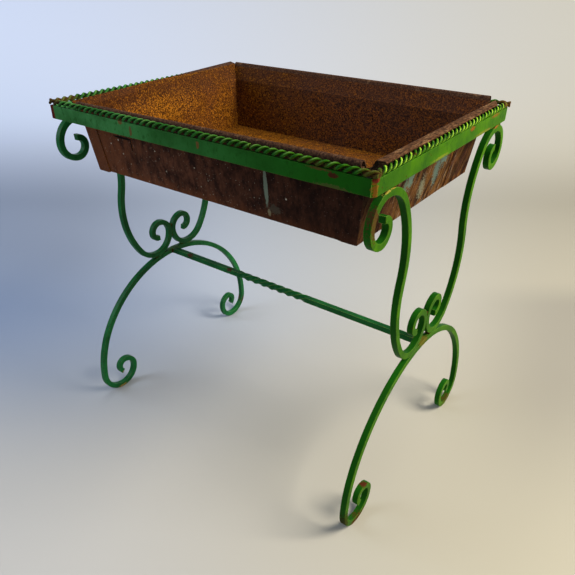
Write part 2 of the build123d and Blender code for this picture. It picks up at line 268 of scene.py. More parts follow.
class Effects:
    """Node groups that several finishes share."""

    def __init__(self) -> None:
        """Build every group once."""
        self.patches = self.make_patches()
        self.mark = self.make_mark()
        self.edges = self.make_edges()
        self.grit = self.make_grit()
        self.specks = self.make_specks()

    def make_patches(self) -> bpy.types.NodeTree:
        """Ragged patches with a fine broken border.

        Returns:
            A group whose Cover grows with Amount.
        """
        board, given, result = new_group("ragged_patches", "Cover", Scale=20.0, Amount=0.3, Seed=0.0)
        finer, fine_share = 7.0, 0.28
        none_above, span, blur = 0.72, 0.44, 0.035
        shifted = board.vector("ADD", board.place(), given["Seed"])
        broad = board.noise(shifted, given["Scale"], 5.0, 0.65)
        fine = board.noise(shifted, board.times(given["Scale"], finer), 4.0, 0.7)
        height = board.calc("ADD", board.times(broad, 1 - fine_share), board.times(fine, fine_share))
        level = board.less(none_above, board.times(given["Amount"], span))
        cover = board.step(height, board.less(level, blur), board.calc("ADD", level, blur))
        board.feed(result, cover)
        return board.tree

    def make_mark(self) -> bpy.types.NodeTree:
        """One blot at a place on the piece, with ragged borders.

        Returns:
            A group whose Cover is 1 inside the blot.
        """
        small = (0.01, 0.01, 0.01)
        board, given, result = new_group("blot", "Cover", Centre=(0, 0, 0), Size=small, Ragged=0.5)
        border_scale, border_swing = 260.0, 3.0
        off = board.vector("SUBTRACT", board.place(), given["Centre"])
        reach = board.vector("LENGTH", board.vector("DIVIDE", off, given["Size"]), output="Value")
        swing = board.less(board.noise(board.place(), border_scale, 4.0, 0.7), 0.5)
        reach = board.plus(reach, swing, board.times(given["Ragged"], border_swing))
        board.feed(result, board.step(reach, 1.1, 0.75))
        return board.tree

    def make_edges(self) -> bpy.types.NodeTree:
        """Sharp edges, where a rounded normal leaves the flat one, for pale wear and painted highlights.

        Returns:
            A group whose result is 1 on a sharp edge.
        """
        board, given, result = new_group("edges_for_wear_and_highlight", "Edge", Width=0.0015, Broken=0.6, Scale=90.0)
        rounded = board.put("ShaderNodeBevel", {"Radius": given["Width"]}, samples=4).outputs[0]
        agree = board.dot(rounded, board.put("ShaderNodeNewGeometry").outputs["Normal"])
        edge = board.step(agree, 0.985, 0.8)
        bits = board.step(board.noise(board.place(), given["Scale"], 4.0, 0.6), 0.4, 0.6)
        kept = board.less(1.0, board.times(given["Broken"], board.less(1.0, bits)))
        board.feed(result, board.times(edge, kept))
        return board.tree

    def make_grit(self) -> bpy.types.NodeTree:
        """Fine grains, each with a tone of its own.

        Returns:
            A group with the grains' Tone.
        """
        board, given, result = new_group("grit", "Tone", Scale=600.0)
        board.feed(result, board.cells(given["Scale"])[0])
        return board.tree

    def make_specks(self) -> bpy.types.NodeTree:
        """Small round specks, scattered singly.

        Returns:
            A group whose Cover is 1 on a speck; Share is the part of the cells that have one.
        """
        board, given, result = new_group("specks", "Cover", Scale=90.0, Reach=0.15, Share=0.2)
        chance, width, far = board.cells(given["Scale"])
        smallest, spread, core = 0.4, 0.8, 0.6
        chosen = board.calc("LESS_THAN", chance, given["Share"])
        reach = board.times(given["Reach"], board.plus(smallest, width, spread))
        near = board.step(far, reach, board.times(reach, core))
        board.feed(result, board.times(chosen, near))
        return board.tree


class Surface(Board):
    """The board of a new material, with its shader and what its finish reads from the surface."""

    def __init__(self, name: str) -> None:
        """Make a material with only its output and one Principled shader.

        Args:
            name: The material's name.
        """
        self.material = bpy.data.materials.new(name)
        self.material.use_nodes = True
        super().__init__(self.material.node_tree)
        self.tree.nodes.clear()
        self.shader = self.put("ShaderNodeBsdfPrincipled")
        self.put("ShaderNodeOutputMaterial", {"Surface": self.shader.outputs[0]})
        self.point = self.place()

    @cached_property
    def at(self) -> Axes:
        """Where the point is on each axis."""
        return self.split(self.point)

    @cached_property
    def facing(self) -> Axes:
        """How far the surface faces along each axis."""
        return self.split(self.put("ShaderNodeNewGeometry").outputs["Normal"])

    def shade(self, inputs: dict[str, Value | Tone]) -> None:
        """Feed the shader's inputs by name."""
        for name, value in inputs.items():
            self.feed(self.shader.inputs[name], value)

    def emboss(self, height: Socket, strength: float, depth: float) -> None:
        """Raise and lower the surface by a height."""
        bump = self.put("ShaderNodeBump", {"Strength": strength, "Distance": depth, "Height": height})
        self.feed(self.shader.inputs["Normal"], bump.outputs[0])


@dataclass(frozen=True)
class Blot:
    """A mark: its centre and half sizes in metres, its colour, how ragged its border is, and its strength."""

    centre: Point
    size: Point
    colour: Colour
    ragged: float = 0.5
    strength: float = 1.0


def lay_blots(
    on: Surface, effects: Effects, colour: Tone, blots: tuple[Blot, ...]
) -> tuple[Tone, list[Socket]]:
    """Lay marks over a colour.

    Args:
        on: The surface.
        effects: The shared node groups.
        colour: The colour below them.
        blots: The marks.

    Returns:
        The new colour, and where each mark covers it.
    """
    covers = []
    for blot in blots:
        inside = on.group(effects.mark, Centre=blot.centre, Size=blot.size, Ragged=blot.ragged)
        cover = on.times(inside, blot.strength)
        colour = on.mix(cover, colour, blot.colour)
        covers.append(cover)
    return colour, covers


@dataclass(frozen=True)
class GreenPaint:
    """Old green gloss on iron, in painted cool light towards the left and painted shade where it doesn't face
    right, with pale edges of wear and painted highlight, rusty in places.
    """

    name: str
    paint: Colour = srgb(70, 120, 2)
    painted_shade: Colour = srgb(26, 92, 16)
    painted_cool_light: Colour = srgb(50, 116, 54)
    deep: Colour = srgb(24, 72, 14)
    wear_and_highlight: Colour = srgb(136, 176, 74)
    wear_and_highlight_strength: float = 0.75
    rust: Colour = srgb(98, 50, 24)
    rust_dark: Colour = srgb(50, 24, 14)
    rust_amount: float = 0.12
    edge: float = 0.0014
    edge_rust: float = 0.35
    roughness: float = 0.4
    rust_roughness: float = 0.4
    specular: float = 0.03
    relief: float = 0.0007
    cloud_scale: float = 16.0
    brush_scale: float = 150.0
    patch_scale: float = 55.0
    chip_scale: float = 150.0
    speck_scale: float = 95.0
    rust_scale: float = 420.0
    relief_scale: float = 190.0
    pit_scale: float = 900.0
    blots: tuple[Blot, ...] = ()

    def coat(self, on: Surface) -> Socket:
        """The colour of the sound paint, with painted shade where it doesn't face right and painted cool
        light towards the left.

        Args:
            on: The surface.

        Returns:
            The colour.
        """
        # Painted light: faces that face right keep the paint, the others get a painted shade, and both turn
        # to a painted cool light towards the left.
        painted_shade = on.mix(on.step(on.at.x, 0.3, -0.3), self.painted_shade, self.painted_cool_light)
        lamp_side_green = on.mix(on.step(on.at.x, 0.2, -0.2), self.paint, self.painted_cool_light)
        green = on.mix(on.step(on.facing.x, 0.1, 0.7), painted_shade, lamp_side_green)
        clouds = on.step(on.noise(on.point, self.cloud_scale, 4.0), 0.35, 0.65)
        green = on.lay(green, self.deep, clouds, 0.6)
        brushed = on.noise(on.stretch(on.point, (1.0, 1.0, 0.5)), self.brush_scale, 4.0, 0.7)
        return on.mix(on.step(brushed, 0.5, 0.78), green, self.deep)

    def weather(self, on: Surface, effects: Effects, colour: Socket) -> tuple[Socket, Socket]:
        """Pale edges of wear and painted highlight, rust spots and marks over the paint.

        Args:
            on: The surface.
            effects: The shared node groups.
            colour: The colour of the paint.

        Returns:
            The colour and the mask of the rust.
        """
        # Pale edges: wear and painted highlight.
        edge = on.group(effects.edges, Width=self.edge, Broken=0.5, Scale=110.0)
        colour = on.lay(colour, self.wear_and_highlight, edge, self.wear_and_highlight_strength)
        rusty = on.group(effects.patches, Scale=self.patch_scale, Amount=self.rust_amount, Seed=7.0)
        chipped = on.group(effects.patches, Scale=self.chip_scale, Amount=self.edge_rust, Seed=2.0)
        rusty = on.most(rusty, on.times(chipped, on.step(edge, 0.25, 0.7)))
        specks = on.group(effects.specks, Scale=self.speck_scale, Reach=0.16, Share=0.2)
        rusty = on.most(rusty, on.times(specks, 0.8))
        rust = on.mix(on.noise(on.point, self.rust_scale), self.rust, self.rust_dark)
        colour, covers = lay_blots(on, effects, on.lay(colour, rust, rusty, 0.9), self.blots)
        for cover in covers:
            rusty = on.most(rusty, cover)
        return colour, rusty

    def make(self, effects: Effects) -> bpy.types.Material:
        """Build the material.

        Args:
            effects: The shared node groups.

        Returns:
            The material.
        """
        on = Surface(self.name)
        colour, rusty = self.weather(on, effects, self.coat(on))
        roughness = on.plus(self.roughness, rusty, self.rust_roughness)
        on.shade({"Base Color": colour, "Roughness": roughness, "Specular IOR Level": self.specular})
        brushed = on.plus(on.times(rusty, 0.5), on.noise(on.point, self.relief_scale), 0.8)
        on.emboss(on.plus(brushed, rusty, on.noise(on.point, self.pit_scale)), 0.4, self.relief)
        return on.material


@dataclass(frozen=True, kw_only=True)
class TwistedPaint(GreenPaint):
    """The same gloss on twisted edging, with painted highlights on its strands and painted shade between
    them.
    """

    axis: Point
    run: Run
    reach: float
    hollow_shade: Colour = srgb(10, 12, 4)
    hollow_shade_strength: float = 0.92
    ridge_highlight: Colour = srgb(140, 182, 90)
    ridge_highlight_strength: float = 0.5
    highlight_patch_scale: float = 70.0

    def coat(self, on: Surface) -> Socket:
        """The colour of the paint, with painted shade and painted highlights by how far a point is from the
        axis of the twist.

        Args:
            on: The surface.

        Returns:
            The colour.
        """
        round_it = tuple(1.0 - part for part in self.run.value)
        off = on.vector("SUBTRACT", on.point, self.axis)
        far = on.vector("LENGTH", on.stretch(off, round_it), output="Value")
        # Painted shade: near black in the hollows between the strands.
        hollow_shade = on.step(far, self.reach * 0.88, self.reach * 0.55)
        colour = on.lay(super().coat(on), self.hollow_shade, hollow_shade, self.hollow_shade_strength)
        # Painted highlight: pale on the strands' crests where they face up or right, in broken patches.
        lit = on.most(on.step(on.facing.z, -0.2, 0.7), on.step(on.facing.x, 0.2, 0.7))
        pale = on.times(on.step(far, self.reach * 0.86, self.reach), lit)
        painted_highlight = on.times(pale, on.step(on.noise(on.point, self.highlight_patch_scale), 0.38, 0.6))
        return on.lay(colour, self.ridge_highlight, painted_highlight, self.ridge_highlight_strength)


@dataclass(frozen=True)
class RustySheet:
    """Thin sheet, rusted through its old paint: grainy inside, streaked outside, with wear and painted
    highlights along its hems.
    """

    name: str
    waist_z: float
    floor_z: float
    hem_y: float
    hem_x: float
    middle_x: float
    gold: Colour = srgb(108, 62, 8)
    amber: Colour = srgb(180, 116, 30)
    orange: Colour = srgb(146, 82, 32)
    bronze: Colour = srgb(76, 42, 8)
    plum: Colour = srgb(76, 48, 36)
    pit: Colour = srgb(34, 16, 8)
    grime: Colour = srgb(44, 20, 8)
    outer: Colour = srgb(100, 60, 42)
    outer_red: Colour = srgb(116, 66, 40)
    outer_dark: Colour = srgb(44, 23, 16)
    outer_deep: Colour = srgb(20, 9, 7)
    fleck: Colour = srgb(176, 164, 146)
    hem: Colour = srgb(92, 62, 44)
    hem_dark: Colour = srgb(50, 32, 26)
    hem_wear_and_highlight: Colour = srgb(122, 92, 68)
    hem_grain: Point = (1.0, 1.0, 1.0)
    hem_blur: float = 0.0015
    ochre: Colour = srgb(112, 76, 36)
    slant: float = -0.35
    roughness: float = 0.6
    specular: float = 0.05
    relief: float = 0.0009
    cloud_scale: float = 13.0
    grain_scale: float = 360.0
    grit_scale: float = 520.0
    mottle_scale: float = 42.0
    streak_scale: float = 110.0
    red_scale: float = 80.0
    fine_scale: float = 420.0
    hem_grain_scale: float = 300.0
    scuff_scale: float = 75.0
    sheen_scale: float = 260.0
    dent_scale: float = 60.0
    pit_scale: float = 520.0
    crust_centre: Point = (-0.305, -0.03, 0.668)
    crust_size: Point = (0.06, 0.12, 0.034)
    blots: tuple[Blot, ...] = ()

    def gilding(self, on: Surface, flat: Socket, cloud: Socket) -> Socket:
        """How golden the planting side is: more at the left, low down and on the floor.

        Args:
            on: The surface.
            flat: Where it is level.
            cloud: Cloudy noise around 0.

        Returns:
            The mask.
        """
        leftward = on.step(on.at.x, 0.02, -0.3)
        low = on.step(on.at.z, self.waist_z + 0.02, self.floor_z + 0.01)
        golden = on.plus(on.plus(on.times(leftward, 0.72), low, 0.34), flat, 0.45)
        return on.plus(on.less(golden, 0.1), cloud, 1.5, clamp=True)

    def inside(self, on: Surface, effects: Effects) -> Socket:
        """The colour of the planting side: gold, bronze and plum under grains, a crust and pits.

        Args:
            on: The surface.
            effects: The shared node groups.

        Returns:
            The colour.
        """
        flat = on.step(on.facing.z, 0.6, 0.9)
        cloud = on.less(on.noise(on.point, self.cloud_scale, 4.0, 0.6), 0.5)
        golden = self.gilding(on, flat, cloud)
        coarse = on.step(on.at.z, self.waist_z + 0.004, self.waist_z - 0.03)
        rough = on.plus(on.plus(0.65, cloud, 1.2), coarse, 0.25, clamp=True)
        grain = on.noise(on.stretch(on.point, (1.0, 1.0, 0.6)), self.grain_scale, 4.0, 0.78)
        grain = on.plus(on.times(on.group(effects.grit, Scale=self.grit_scale), 0.3), grain, 0.7)
        lifted = on.plus(grain, golden, 0.1)
        colour = on.mix(golden, self.plum, self.bronze)
        colour = on.lay(colour, on.mix(golden, self.orange, self.gold), on.step(lifted, 0.48, 0.66), rough)
        cluster = on.group(effects.mark, Centre=self.crust_centre, Size=self.crust_size, Ragged=1.0)
        bright = on.plus(lifted, on.plus(cluster, flat, 0.35), 0.075)
        colour = on.lay(colour, self.amber, on.step(bright, 0.66, 0.77), 0.8)
        colour = on.lay(colour, self.pit, on.step(grain, 0.48, 0.34), on.times(rough, 0.95))
        collar = on.step(on.at.z, self.waist_z - 0.004, self.waist_z + 0.006)
        return on.lay(colour, self.grime, collar, 0.28)

    def outside(self, on: Surface, effects: Effects) -> Socket:
        """The colour of the outer side, dark brown, redder at the left and along the bottom, with painted
        shade towards the right.

        Args:
            on: The surface.
            effects: The shared node groups.

        Returns:
            The colour.
        """
        mottle = on.noise(on.stretch(on.point, (1.0, 1.0, 0.6)), self.mottle_scale, 7.0, 0.78)
        colour = on.mix(on.step(mottle, 0.38, 0.64), self.outer_dark, self.outer)
        streak = on.noise(on.stretch(on.point, (1.0, 1.0, 0.06)), self.streak_scale, 4.0, 0.65)
        colour = on.lay(colour, self.outer_deep, on.step(streak, 0.5, 0.66), 0.4)
        low = on.step(on.at.z, self.floor_z + 0.03, self.floor_z)
        left = on.step(on.at.x, -0.05, -0.3)
        red = on.most(on.times(low, 0.55), on.times(left, 0.6))
        tall = on.stretch(on.point, (1.0, 1.0, 0.25))
        red = on.plus(red, on.noise(tall, self.red_scale, 5.0, 0.7), 1.3)
        colour = on.lay(colour, self.outer_red, on.step(red, 0.72, 1.4), 0.85)
        # Painted shade: darker towards the right where a face doesn't face right.
        shade = on.times(on.step(on.at.x, -0.15, 0.3), on.step(on.facing.x, 0.7, 0.3))
        colour = on.lay(colour, self.outer_deep, shade, 0.65)
        colour = self.rust_runs(on, on.step(on.facing.x, 0.5, 0.8), colour)
        fine = on.noise(on.point, self.fine_scale, 3.0, 0.7)
        colour = on.lay(colour, self.outer_dark, on.step(fine, 0.45, 0.3), 0.6)
        return self.spatter(on, effects, colour)

    def rust_runs(self, on: Surface, amount: Socket, colour: Socket) -> Socket:
        """Slanting runs of ochre rust, dark between them, with a few pale bits in the middle.

        Args:
            on: The surface.
            amount: How strongly they show.
            colour: The colour below them.

        Returns:
            The colour.
        """
        run_scale, gap_scale, bit_scale = 60.0, 120.0, 170.0
        across, along = on.plus(on.at.y, on.at.z, self.slant), on.times(on.at.z, 0.16)
        point = on.put("ShaderNodeCombineXYZ", {0: across, 1: along, 2: on.at.x}).outputs[0]
        runs = on.step(on.noise(point, run_scale, 6.0, 0.72), 0.4, 0.6)
        colour = on.lay(colour, self.ochre, runs, on.times(amount, 0.75))
        dark = on.step(on.noise(point, gap_scale, 5.0, 0.7), 0.52, 0.4)
        colour = on.lay(colour, self.pit, dark, on.times(amount, 0.9))
        colour = on.lay(colour, self.pit, on.times(amount, on.step(on.at.y, -0.06, -0.16)), 0.55)
        pale = on.step(on.noise(point, bit_scale, 4.0, 0.65), 0.6, 0.68)
        middle = on.times(amount, on.step(on.unsigned(on.at.y), 0.17, 0.1))
        return on.lay(colour, self.fleck, on.times(pale, middle), 0.6)

    def spatter(self, on: Surface, effects: Effects, colour: Socket) -> Socket:
        """Pale specks of three sizes, fainter towards the right.

        Args:
            on: The surface.
            effects: The shared node groups.
            colour: The colour below them.

        Returns:
            The colour.
        """
        strength = on.plus(0.65, on.step(on.at.x, 0.05, 0.2), -0.5)
        for scale, reach, share in ((70.0, 0.1, 0.7), (150.0, 0.14, 0.5), (260.0, 0.18, 0.4)):
            specks = on.group(effects.specks, Scale=scale, Reach=reach, Share=share)
            colour = on.lay(colour, self.fleck, specks, strength)
        return colour

    def hems(self, on: Surface) -> tuple[Socket, Socket]:
        """The worn, granular colour of the hems and where it goes.

        Args:
            on: The surface.

        Returns:
            The colour and the mask of the hems.
        """
        beside = on.step(on.unsigned(on.at.y), self.hem_y - self.hem_blur, self.hem_y)
        off = on.unsigned(on.less(on.at.x, self.middle_x))
        mask = on.most(beside, on.step(off, self.hem_x - self.hem_blur, self.hem_x))
        grained = on.stretch(on.point, self.hem_grain)
        grain = on.step(on.noise(grained, self.hem_grain_scale, 4.0, 0.75), 0.4, 0.62)
        scuff = on.step(on.noise(grained, self.scuff_scale, 5.0, 0.7), 0.52, 0.7)
        return on.lay(on.mix(grain, self.hem_dark, self.hem), self.hem_wear_and_highlight, scuff, 0.7), mask

    def make(self, effects: Effects) -> bpy.types.Material:
        """Build the material.

        Args:
            effects: The shared node groups.

        Returns:
            The material.
        """
        on = Surface(self.name)
        outward = on.plus(on.times(on.at.y, on.facing.y), on.at.x, on.facing.x)
        inward = on.step(on.plus(outward, on.facing.z, -0.3), 0.02, -0.02)
        outside, _ = lay_blots(on, effects, self.outside(on, effects), self.blots)
        colour = on.mix(inward, outside, self.inside(on, effects))
        hem, on_hem = self.hems(on)
        # Pale edges: wear and painted highlight.
        edge = on.group(effects.edges, Width=0.0015, Broken=0.6, Scale=120.0)
        colour = on.lay(on.mix(on_hem, colour, hem), self.hem_wear_and_highlight, edge, 0.25)
        roughness = on.plus(self.roughness, on.noise(on.point, self.sheen_scale), 0.3)
        on.shade({"Base Color": colour, "Roughness": roughness, "Specular IOR Level": self.specular})
        dents, pits = on.noise(on.point, self.dent_scale), on.noise(on.point, self.pit_scale, 4.0, 0.7)
        on.emboss(on.plus(pits, dents, 1.5), 0.5, self.relief)
        return on.material


def assign(piece: bpy.types.Object, material: bpy.types.Material) -> None:
    """Put a material on a piece in place of its own.

    Args:
        piece: A mesh object.
        material: The material.
    """
    piece.data.materials.clear()
    piece.data.materials.append(material)


def dress_nodes(material: bpy.types.Material, *nodes: str) -> None:
    """Give nodes of the frame their finish.

    Args:
        material: The finish.
        *nodes: The nodes' names.
    """
    for node in nodes:
        assign(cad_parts[node], material)
        log.info("dressed %s", node)


@dataclass
class Edging:
    """A length of edging: two round strands, twisted left-handed into one."""

    node: str
    low: Vector
    high: Vector
    run: Run
    pitch: float = 0.030
    strand_share: float = 0.53
    sides: int = 24
    rows_per_turn: int = 16

    @property
    def middle(self) -> Vector:
        """The middle of its axis."""
        return (self.low + self.high) / 2

    @property
    def reach(self) -> float:
        """How far its strands reach from the axis."""
        return (self.high.z - self.low.z) / 2

    def section(self, turn: float) -> list[tuple[float, float]]:
        """The outline of both strands, turned about the axis.

        Args:
            turn: The turn in radians.

        Returns:
            Its points.
        """
        strand = self.reach * self.strand_share
        offset = self.reach - strand
        points = []
        for index in range(self.sides):
            angle = math.tau * index / self.sides
            far = offset * abs(math.cos(angle)) + math.sqrt(strand**2 - (offset * math.sin(angle)) ** 2)
            points.append((far * math.cos(angle + turn), far * math.sin(angle + turn)))
        return points

    def build(self) -> bpy.types.Object:
        """Build the edging.

        Returns:
            The piece.
        """
        form = bmesh.new()
        along = Vector(self.run.value)
        across = Vector((0.0, 0.0, 1.0)).cross(along)
        length = (self.high - self.low).dot(along)
        rows = round(length / self.pitch * self.rows_per_turn)
        rings = []
        for row in range(rows + 1):
            at = length * (row / rows - 0.5)
            middle = self.middle + along * at
            points = self.section(-math.tau * at / self.pitch)
            rings.append([form.verts.new(middle + across * side + Vector((0, 0, up))) for side, up in points])
        for near, far in zip(rings, rings[1:]):
            for first in range(self.sides):
                second = (first + 1) % self.sides
                form.faces.new((near[first], near[second], far[second], far[first]))
        form.faces.new(reversed(rings[0]))
        form.faces.new(rings[-1])
        bmesh.ops.recalc_face_normals(form, faces=form.faces)
        for face in form.faces:
            face.smooth = len(face.verts) == 4
        mesh = bpy.data.meshes.new(f"edging_{self.node}")
        form.to_mesh(mesh)
        form.free()
        piece = bpy.data.objects.new(mesh.name, mesh)
        bpy.context.scene.collection.objects.link(piece)
        return piece


@dataclass
class Stand:
    """The iron stand, with its rim, edging, legs and stretcher."""

    effects: Effects

    def rim_marks(self) -> tuple[Blot, ...]:
        """Chips and rust on the front and right-hand bands.

        Returns:
            The marks.
        """
        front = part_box("rim_front")[0].y
        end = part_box("rim_right")[1].x
        dark, orange = srgb(74, 22, 20), srgb(138, 82, 30)
        return (
            Blot((-0.150, front, 0.706), (0.007, 0.006, 0.004), srgb(120, 74, 44), 0.6, 0.8),
            Blot((-0.125, front, 0.694), (0.0035, 0.006, 0.009), srgb(104, 74, 46), 0.7, 0.85),
            Blot((0.033, front, 0.699), (0.003, 0.006, 0.007), srgb(122, 78, 44), 0.6, 0.8),
            Blot((0.285, front, 0.701), (0.009, 0.006, 0.004), dark, 0.5, 0.9),
            Blot((0.262, front, 0.706), (0.02, 0.006, 0.002), srgb(96, 60, 34), 0.9, 0.7),
            Blot((0.283, front, 0.684), (0.028, 0.007, 0.004), srgb(92, 84, 48), 1.0, 0.55),
            Blot((-0.351, front, 0.696), (0.011, 0.008, 0.04), srgb(92, 30, 26), 0.2, 1.0),
            Blot((end, front + 0.003, 0.69), (0.005, 0.005, 0.018), orange, 1.5, 0.8),
            Blot((end, front + 0.004, 0.707), (0.008, 0.008, 0.005), srgb(110, 44, 30), 0.5, 1.0),
            Blot((end, 0.079, 0.704), (0.006, 0.012, 0.004), orange, 0.8, 0.8),
            Blot((end, 0.193, 0.705), (0.006, 0.02, 0.003), srgb(134, 88, 40), 0.9, 0.7),
            Blot((end, -0.05, 0.686), (0.006, 0.03, 0.0025), srgb(150, 140, 60), 1.2, 0.45),
            Blot((end, 0.14, 0.686), (0.006, 0.04, 0.0025), srgb(150, 130, 60), 1.2, 0.45),
        )

    def dress_rim(self) -> None:
        """Paint the bands and their corners."""
        marks = self.rim_marks()
        # A brighter painted cool light towards the left of the bands.
        paint = GreenPaint("green_gloss_rim", painted_cool_light=srgb(70, 138, 76), blots=marks, rust_amount=0.14)
        bands = ("rim_front", "rim_back", "rim_left", "rim_right")
        dress_nodes(paint.make(self.effects), *bands, "rim_corner_welds")

    def edging_marks(self) -> tuple[Blot, ...]:
        """Rust on the edging at three corners of the rim and beside the front right-hand one.

        Returns:
            The marks.
        """
        front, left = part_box("rim_front")[0].y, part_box("rim_left")[0].x
        return (
            Blot((left, front, 0.714), (0.03, 0.02, 0.02), srgb(70, 42, 26), 0.9, 0.85),
            Blot((left, front + 0.03, 0.714), (0.02, 0.03, 0.02), srgb(92, 58, 26), 1.0, 0.6),
            Blot((-left, front, 0.714), (0.022, 0.02, 0.02), srgb(86, 54, 26), 1.0, 0.6),
            Blot((-left, -front, 0.714), (0.02, 0.03, 0.02), srgb(90, 50, 26), 0.8, 0.8),
            Blot((0.25, front, 0.712), (0.04, 0.02, 0.004), srgb(84, 56, 26), 1.3, 0.4),
        )

    def dress_edging(self) -> None:
        """Lay edging of two strands in place of the frame's twisted bars, with the strongest painted
        highlights along the right.
        """
        marks = self.edging_marks()
        for node in ("rope_front_left", "rope_front_right", "rope_back", "rope_left", "rope_right"):
            low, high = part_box(node)
            run = Run.LENGTHWISE if high.x - low.x > high.y - low.y else Run.CROSSWISE
            edging = Edging(node, low, high, run)
            finish = TwistedPaint(
                f"green_gloss_{node}",
                axis=tuple(edging.middle),
                run=run,
                reach=edging.reach,
                rust_amount=0.16,
                edge_rust=0.0,
                blots=marks,
            )
            # Stronger, yellower painted highlights on the right-hand edging.
            if node == "rope_right":
                finish = replace(finish, ridge_highlight=srgb(168, 212, 64), ridge_highlight_strength=0.9)
            piece = edging.build()
            assign(piece, finish.make(self.effects))
            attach(piece, "stand")
            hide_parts(node)
            log.info("laid %s", piece.name)

    def leg_marks(self) -> tuple[Blot, ...]:
        """Rust and bare spots on the arches, the scrolls and the stretcher.

        Returns:
            The marks.
        """
        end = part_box("arch_right")[1].x
        red, brown, ochre = srgb(88, 34, 24), srgb(84, 44, 30), srgb(168, 120, 56)
        return (
            Blot((end, -0.192, 0.082), (0.014, 0.012, 0.009), red, 0.6, 0.9),
            Blot((end, -0.222, 0.006), (0.016, 0.034, 0.007), red, 1.3, 0.75),
            Blot((end, -0.256, 0.642), (0.02, 0.010, 0.026), brown, 0.8, 0.8),
            Blot((end, -0.229, 0.682), (0.016, 0.014, 0.003), srgb(166, 152, 66), 1.1, 0.8),
            Blot((end, -0.207, 0.684), (0.016, 0.012, 0.003), srgb(166, 140, 56), 1.1, 0.8),
            Blot((end, 0.205, 0.683), (0.016, 0.014, 0.004), srgb(150, 90, 40), 0.9, 0.8),
            Blot((-end, 0.262, 0.028), (0.016, 0.014, 0.022), srgb(76, 38, 26), 0.6, 0.9),
            Blot((end, -0.264, 0.034), (0.016, 0.010, 0.03), srgb(58, 34, 20), 1.3, 0.7),
            Blot((-end, -0.212, 0.043), (0.013, 0.006, 0.006), ochre, 0.3, 1.0),
            Blot((-end, -0.222, 0.004), (0.014, 0.03, 0.006), ochre, 0.6, 0.8),
            Blot((end, 0.225, 0.010), (0.014, 0.03, 0.008), red, 1.4, 0.6),
            Blot((-0.277, -0.006, 0.308), (0.01, 0.008, 0.006), brown, 0.6, 0.9),
            Blot((-0.148, -0.006, 0.31), (0.008, 0.008, 0.006), brown, 0.7, 0.9),
            Blot((end, 0.0, 0.31), (0.02, 0.02, 0.012), srgb(118, 96, 40), 1.0, 0.6),
            Blot((-end, 0.0, 0.31), (0.02, 0.02, 0.012), srgb(104, 80, 40), 1.2, 0.3),
        )

    def dress_legs(self) -> None:
        """Paint the arches and the scrolls, with a bluer copy in painted cool light for the left-hand ones
        and the stretcher.
        """
        right = GreenPaint(
            "green_gloss_bar", blots=self.leg_marks(), rust_amount=0.06, edge=0.002, edge_rust=0.16
        )
        # Painted cool light and painted shade for the left-hand bars and the stretcher, bluer than on the
        # right.
        left = replace(
            right,
            name="green_gloss_bar_cool_light",
            painted_cool_light=srgb(30, 110, 54),
            painted_shade=srgb(26, 100, 44),
            deep=srgb(12, 64, 32),
            specular=0.08,
        )
        bars = ("arch", "scroll_front", "scroll_back")
        dress_nodes(right.make(self.effects), *(f"{bar}_right" for bar in bars))
        dress_nodes(left.make(self.effects), *(f"{bar}_left" for bar in bars), "stretcher")

    def dress_welds(self) -> None:
        """Paint the welds, rustier than the bars beside them."""
        paint = GreenPaint("green_gloss_weld", rust_amount=0.5, wear_and_highlight=srgb(150, 150, 60)).make(self.effects)
        dress_nodes(paint, "scroll_arch_welds", "curl_welds", "scroll_rim_welds", "stretcher_welds")

    def dress(self) -> None:
        """Give every node of the stand its finish."""
        self.dress_rim()
        self.dress_edging()
        self.dress_legs()
        self.dress_welds()


